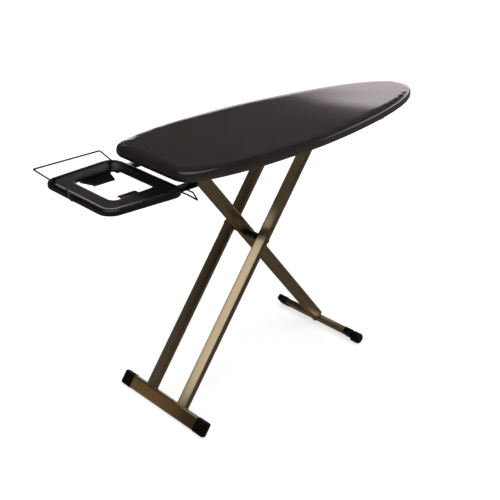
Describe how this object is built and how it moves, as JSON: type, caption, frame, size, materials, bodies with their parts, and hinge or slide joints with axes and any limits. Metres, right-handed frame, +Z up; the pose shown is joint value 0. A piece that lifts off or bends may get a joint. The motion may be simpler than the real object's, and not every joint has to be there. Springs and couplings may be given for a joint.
{
  "type": "folding ironing board",
  "caption": "Folding ironing board with crossed flat tube legs on two bar feet, padded fabric top, open iron tray with wire guard, and a release lever under the board.",
  "frame": {"origin": "on the floor, under the middle of the overall length and width", "axes": "+X from the iron tray to the nose, +Y towards the wire guard's side, +Z up"},
  "size_m": [1.5669, 0.448, 0.94],
  "materials": {
    "cover_fabric": "satin weave, charcoal",
    "felt": "needled felt",
    "zinc_steel": "zinc plated",
    "bronze_paint": "champagne bronze metallic gloss",
    "black_enamel": "gloss enamel",
    "black_plastic": "satin moulded",
    "nylon": "natural nylon"
  },
  "bodies": {
    "board": {"mesh_plate": "zinc_steel", "rim_frame": "zinc_steel", "felt_pad": "felt", "cover": "cover_fabric", "brace_tail": "zinc_steel", "brace_nose": "zinc_steel", "rail_near": "zinc_steel", "rail_far": "zinc_steel", "pivot_bracket_near": "zinc_steel", "pivot_bracket_far": "zinc_steel", "upper_axle": "zinc_steel", "tray": "black_enamel", "tray_arm_near": "black_enamel", "tray_arm_far": "black_enamel", "tray_screws": "zinc_steel", "guard_clips": "black_plastic", "hose_hook": "black_enamel", "end_hook": "black_enamel", "lever_mount": "zinc_steel", "lever_spring": "zinc_steel", "rail_rivets": "zinc_steel"},
    "inner_leg": {"inner_leg_tube": "bronze_paint", "inner_head_tube": "bronze_paint", "head_bushes": "nylon", "pivot_sleeve": "black_enamel", "pivot_bushes": "nylon", "rear_foot_tube": "bronze_paint", "rear_cap_far": "black_plastic", "rear_sleeve_near": "black_plastic", "knob_stud": "zinc_steel"},
    "levelling_knob": {"levelling_knob": "black_plastic"},
    "outer_legs": {"outer_leg_near": "bronze_paint", "outer_leg_far": "bronze_paint", "leg_top_plugs": "black_plastic", "front_foot_tube": "bronze_paint", "front_cap_near": "black_plastic", "front_cap_far": "black_plastic", "top_crossbar": "zinc_steel", "slide_bushes": "nylon", "centre_axle": "zinc_steel", "spacer_near": "black_plastic", "spacer_far": "black_plastic", "axle_rivets": "bronze_paint"},
    "guard": {"guard_wire": "black_enamel", "guard_pins": "black_enamel"},
    "release_lever": {"release_lever": "zinc_steel", "lever_grip": "black_plastic"}
  },
  "joints": [
    {"name": "leg_fold", "type": "hinge", "parent": "board", "child": "inner_leg", "pos_m": [-0.35545, 0, 0.894], "axis": [0, -1, 0], "range_deg": [0, 45]},
    {"name": "outer_swing", "type": "hinge", "parent": "inner_leg", "child": "outer_legs", "pos_m": [-0.0765, 0, 0.561], "axis": [0, 1, 0], "range_deg": [0, 95]},
    {"name": "knob_turn", "type": "hinge", "parent": "inner_leg", "child": "levelling_knob", "pos_m": [0.3725, -0.196, 0.025], "axis": [0, 1, 0], "range_deg": [-90, 90]},
    {"name": "guard_fold", "type": "hinge", "parent": "board", "child": "guard", "pos_m": [-0.648, 0.132, 0.897], "axis": [1, 0, 0], "range_deg": [0, 150]},
    {"name": "lever_lift", "type": "hinge", "parent": "board", "child": "release_lever", "pos_m": [0.31783, 0.131, 0.904], "axis": [0, 1, 0], "range_deg": [0, 3], "stiffness_Nm_per_rad": 8, "springref_deg": -4.58, "deforming": ["lever_spring"]}
  ],
  "couplings": [
    {"joint": "outer_swing", "follows": "leg_fold", "ratio": 2.1}
  ]
}
